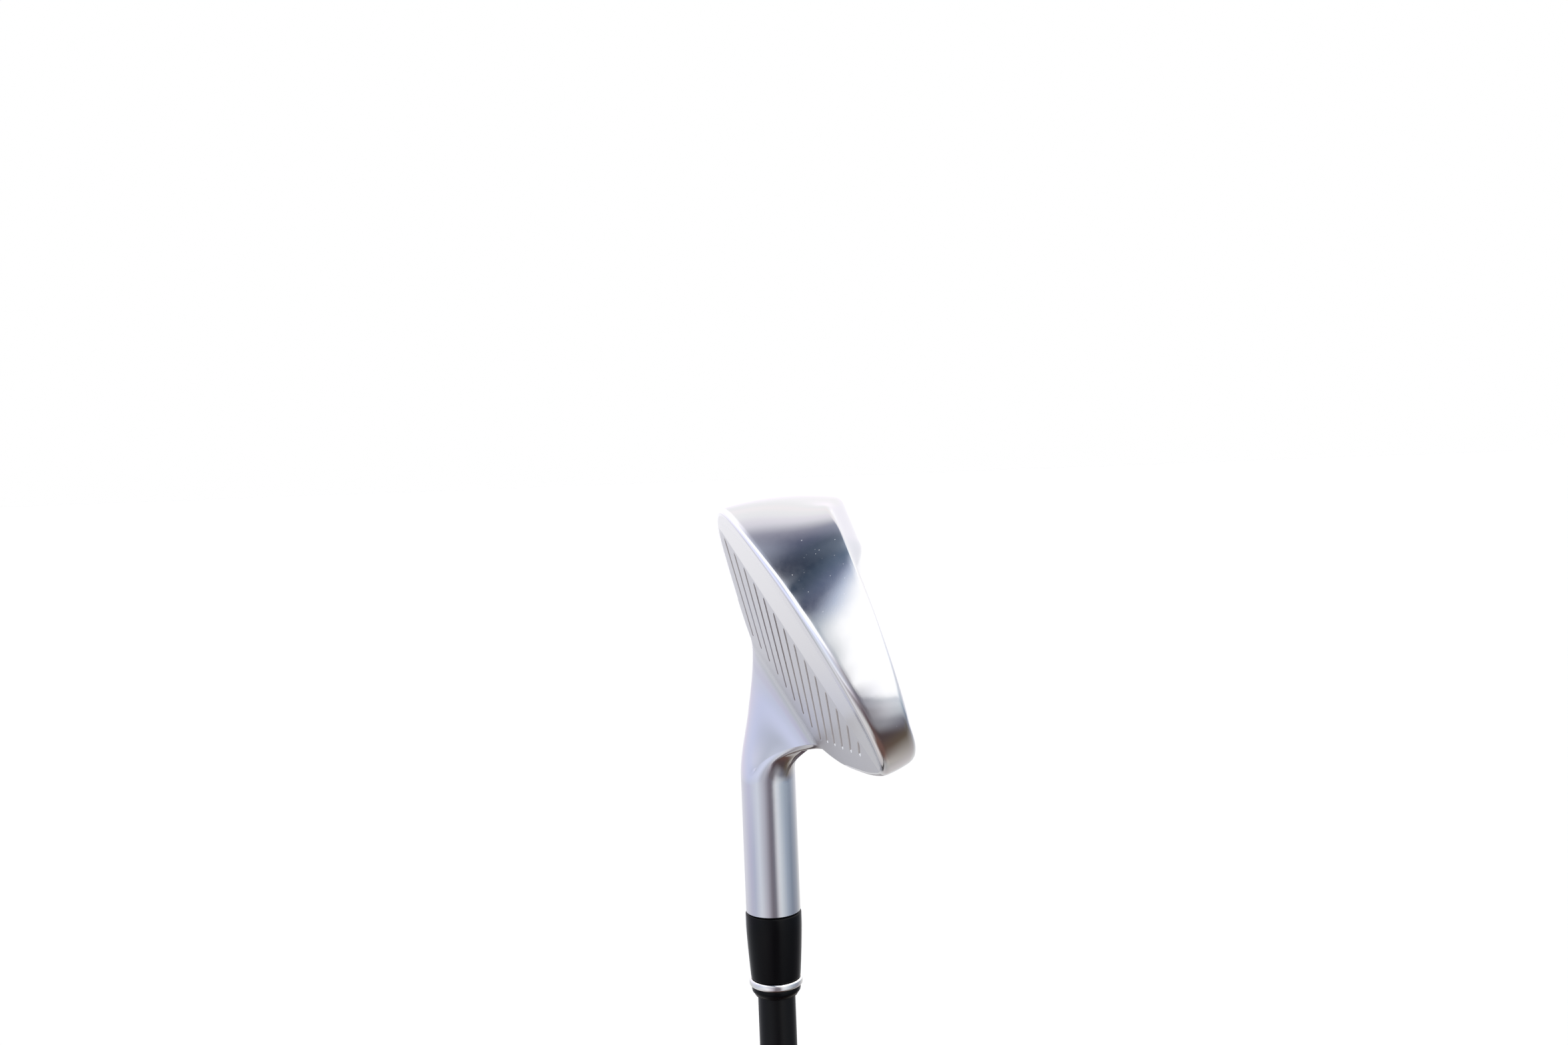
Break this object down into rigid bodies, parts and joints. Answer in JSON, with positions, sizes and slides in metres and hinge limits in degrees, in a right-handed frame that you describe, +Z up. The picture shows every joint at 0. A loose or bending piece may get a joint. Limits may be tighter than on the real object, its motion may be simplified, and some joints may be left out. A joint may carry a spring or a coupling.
{
  "type": "iron golf club",
  "caption": "Right-handed cavity-back iron with a grooved chrome head, black ferrule with a silver ring, black shaft and rubber grip.",
  "frame": {"origin": "centre of the grip's butt end, on the shaft's axis", "axes": "+Z up the shaft's axis from the butt to the head, -X the way the face looks, -Y towards the toe"},
  "size_m": [0.0472, 0.112, 0.9712],
  "materials": {
    "head_chrome": "polished chrome plate on the body, satin blasted face with fine milling",
    "ferrule_black": "glossy turned plastic",
    "ring_silver": "polished",
    "shaft_black": "satin black lacquer on composite",
    "epoxy": "cured adhesive",
    "weight_brass": "turned",
    "grip_rubber": "matte moulded rubber with a fine raised pattern",
    "cap_rubber": "smooth firm rubber",
    "tape": "paper-backed adhesive tape"
  },
  "bodies": {
    "root": {"head": "head_chrome", "ferrule_body": "ferrule_black", "ferrule_ring": "ring_silver", "ferrule_collar": "ferrule_black", "shaft": "shaft_black", "hosel_epoxy": "epoxy", "tip_weight": "weight_brass", "grip_sleeve": "grip_rubber", "grip_cap": "cap_rubber", "grip_tape": "tape"}
  },
  "joints": []
}
